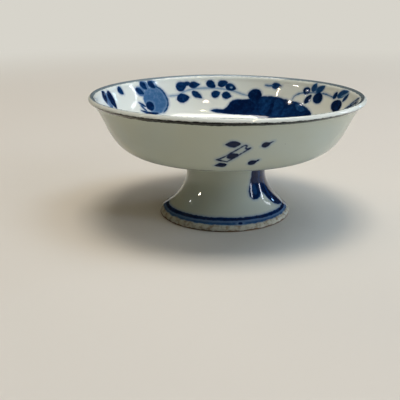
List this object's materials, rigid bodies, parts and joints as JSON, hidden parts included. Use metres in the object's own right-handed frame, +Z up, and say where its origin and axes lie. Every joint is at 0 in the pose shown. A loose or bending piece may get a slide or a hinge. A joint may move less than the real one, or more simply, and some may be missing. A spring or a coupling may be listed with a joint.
{
  "type": "footed dish",
  "caption": "Shallow blue-and-white ceramic dish with an everted lip, standing on a hollow flared foot",
  "frame": {"origin": "on the axis of the dish, in the plane that the foot rests on", "axes": "+Z up along the axis of the dish; +Y away from the side whose painting the picture shows from outside; +X to the right in the picture"},
  "size_m": [0.1122, 0.1122, 0.051],
  "materials": {
    "glaze": "glossy transparent glaze over painted cobalt on a pale grey-green ground",
    "foot_glaze": "glossy glaze, with a bare matt buff ring where it stands",
    "slip": "fired clay slip under glaze"
  },
  "bodies": {
    "root": {"bowl": "glaze", "foot": "foot_glaze", "luting_slip": "slip"}
  },
  "joints": []
}
